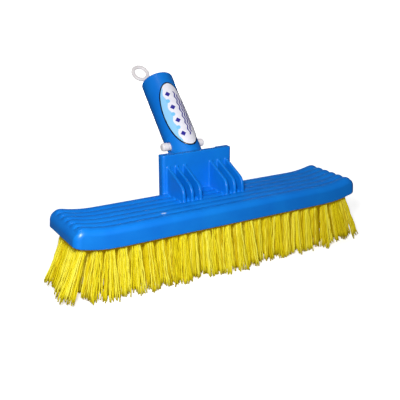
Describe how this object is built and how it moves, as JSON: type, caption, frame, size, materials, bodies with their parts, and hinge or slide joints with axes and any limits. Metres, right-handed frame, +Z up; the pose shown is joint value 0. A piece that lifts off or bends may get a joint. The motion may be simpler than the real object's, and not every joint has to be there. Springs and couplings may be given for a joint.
{
  "type": "pool wall brush",
  "caption": "Pool wall brush: ribbed curved plastic back, bristle tufts on flat anchors, and a raked tube with a two-button spring clip for a telescopic pole.",
  "frame": {"origin": "centre of the bristle tips, on the plane the brush stands on", "axes": "+X along the brush to its right end, +Y to the rear where the pole leaves, +Z up away from the swept surface"},
  "size_m": [0.2738, 0.1374, 0.1491],
  "materials": {
    "back": "moulded polypropylene, semi-gloss blue",
    "bristle": "extruded yellow polypropylene filament",
    "anchor": "flat galvanised wire",
    "clip": "natural nylon, slightly translucent white",
    "label": null
  },
  "bodies": {
    "brush": {"brush_back": "back", "tuft_row_1": "bristle", "tuft_row_2": "bristle", "tuft_row_3": "bristle", "tuft_row_4": "bristle", "tuft_row_5": "bristle", "anchor_row_1": "anchor", "anchor_row_2": "anchor", "anchor_row_3": "anchor", "anchor_row_4": "anchor", "anchor_row_5": "anchor", "clip_bridge": "clip", "label": "label"},
    "left_leg": {"clip_leg_left": "clip"},
    "right_leg": {"clip_leg_right": "clip"},
    "pull_ring": {"clip_pull_ring": "clip"}
  },
  "joints": [
    {"name": "left_button_press", "type": "hinge", "parent": "brush", "child": "left_leg", "pos_m": [-0.0026, 0.09147, 0.13158], "axis": [0, -0.7266, 0.6871], "range_deg": [0, 6.2], "stiffness_Nm_per_rad": 0.05},
    {"name": "right_button_press", "type": "hinge", "parent": "brush", "child": "right_leg", "pos_m": [0.0026, 0.09147, 0.13158], "axis": [0, 0.7266, -0.6871], "range_deg": [0, 6.2], "stiffness_Nm_per_rad": 0.05},
    {"name": "ring_bend", "type": "hinge", "parent": "brush", "child": "pull_ring", "pos_m": [0, 0.09381, 0.13405], "axis": [0, 0.7266, -0.6871], "range_deg": [-3, 97], "stiffness_Nm_per_rad": 0.002}
  ]
}
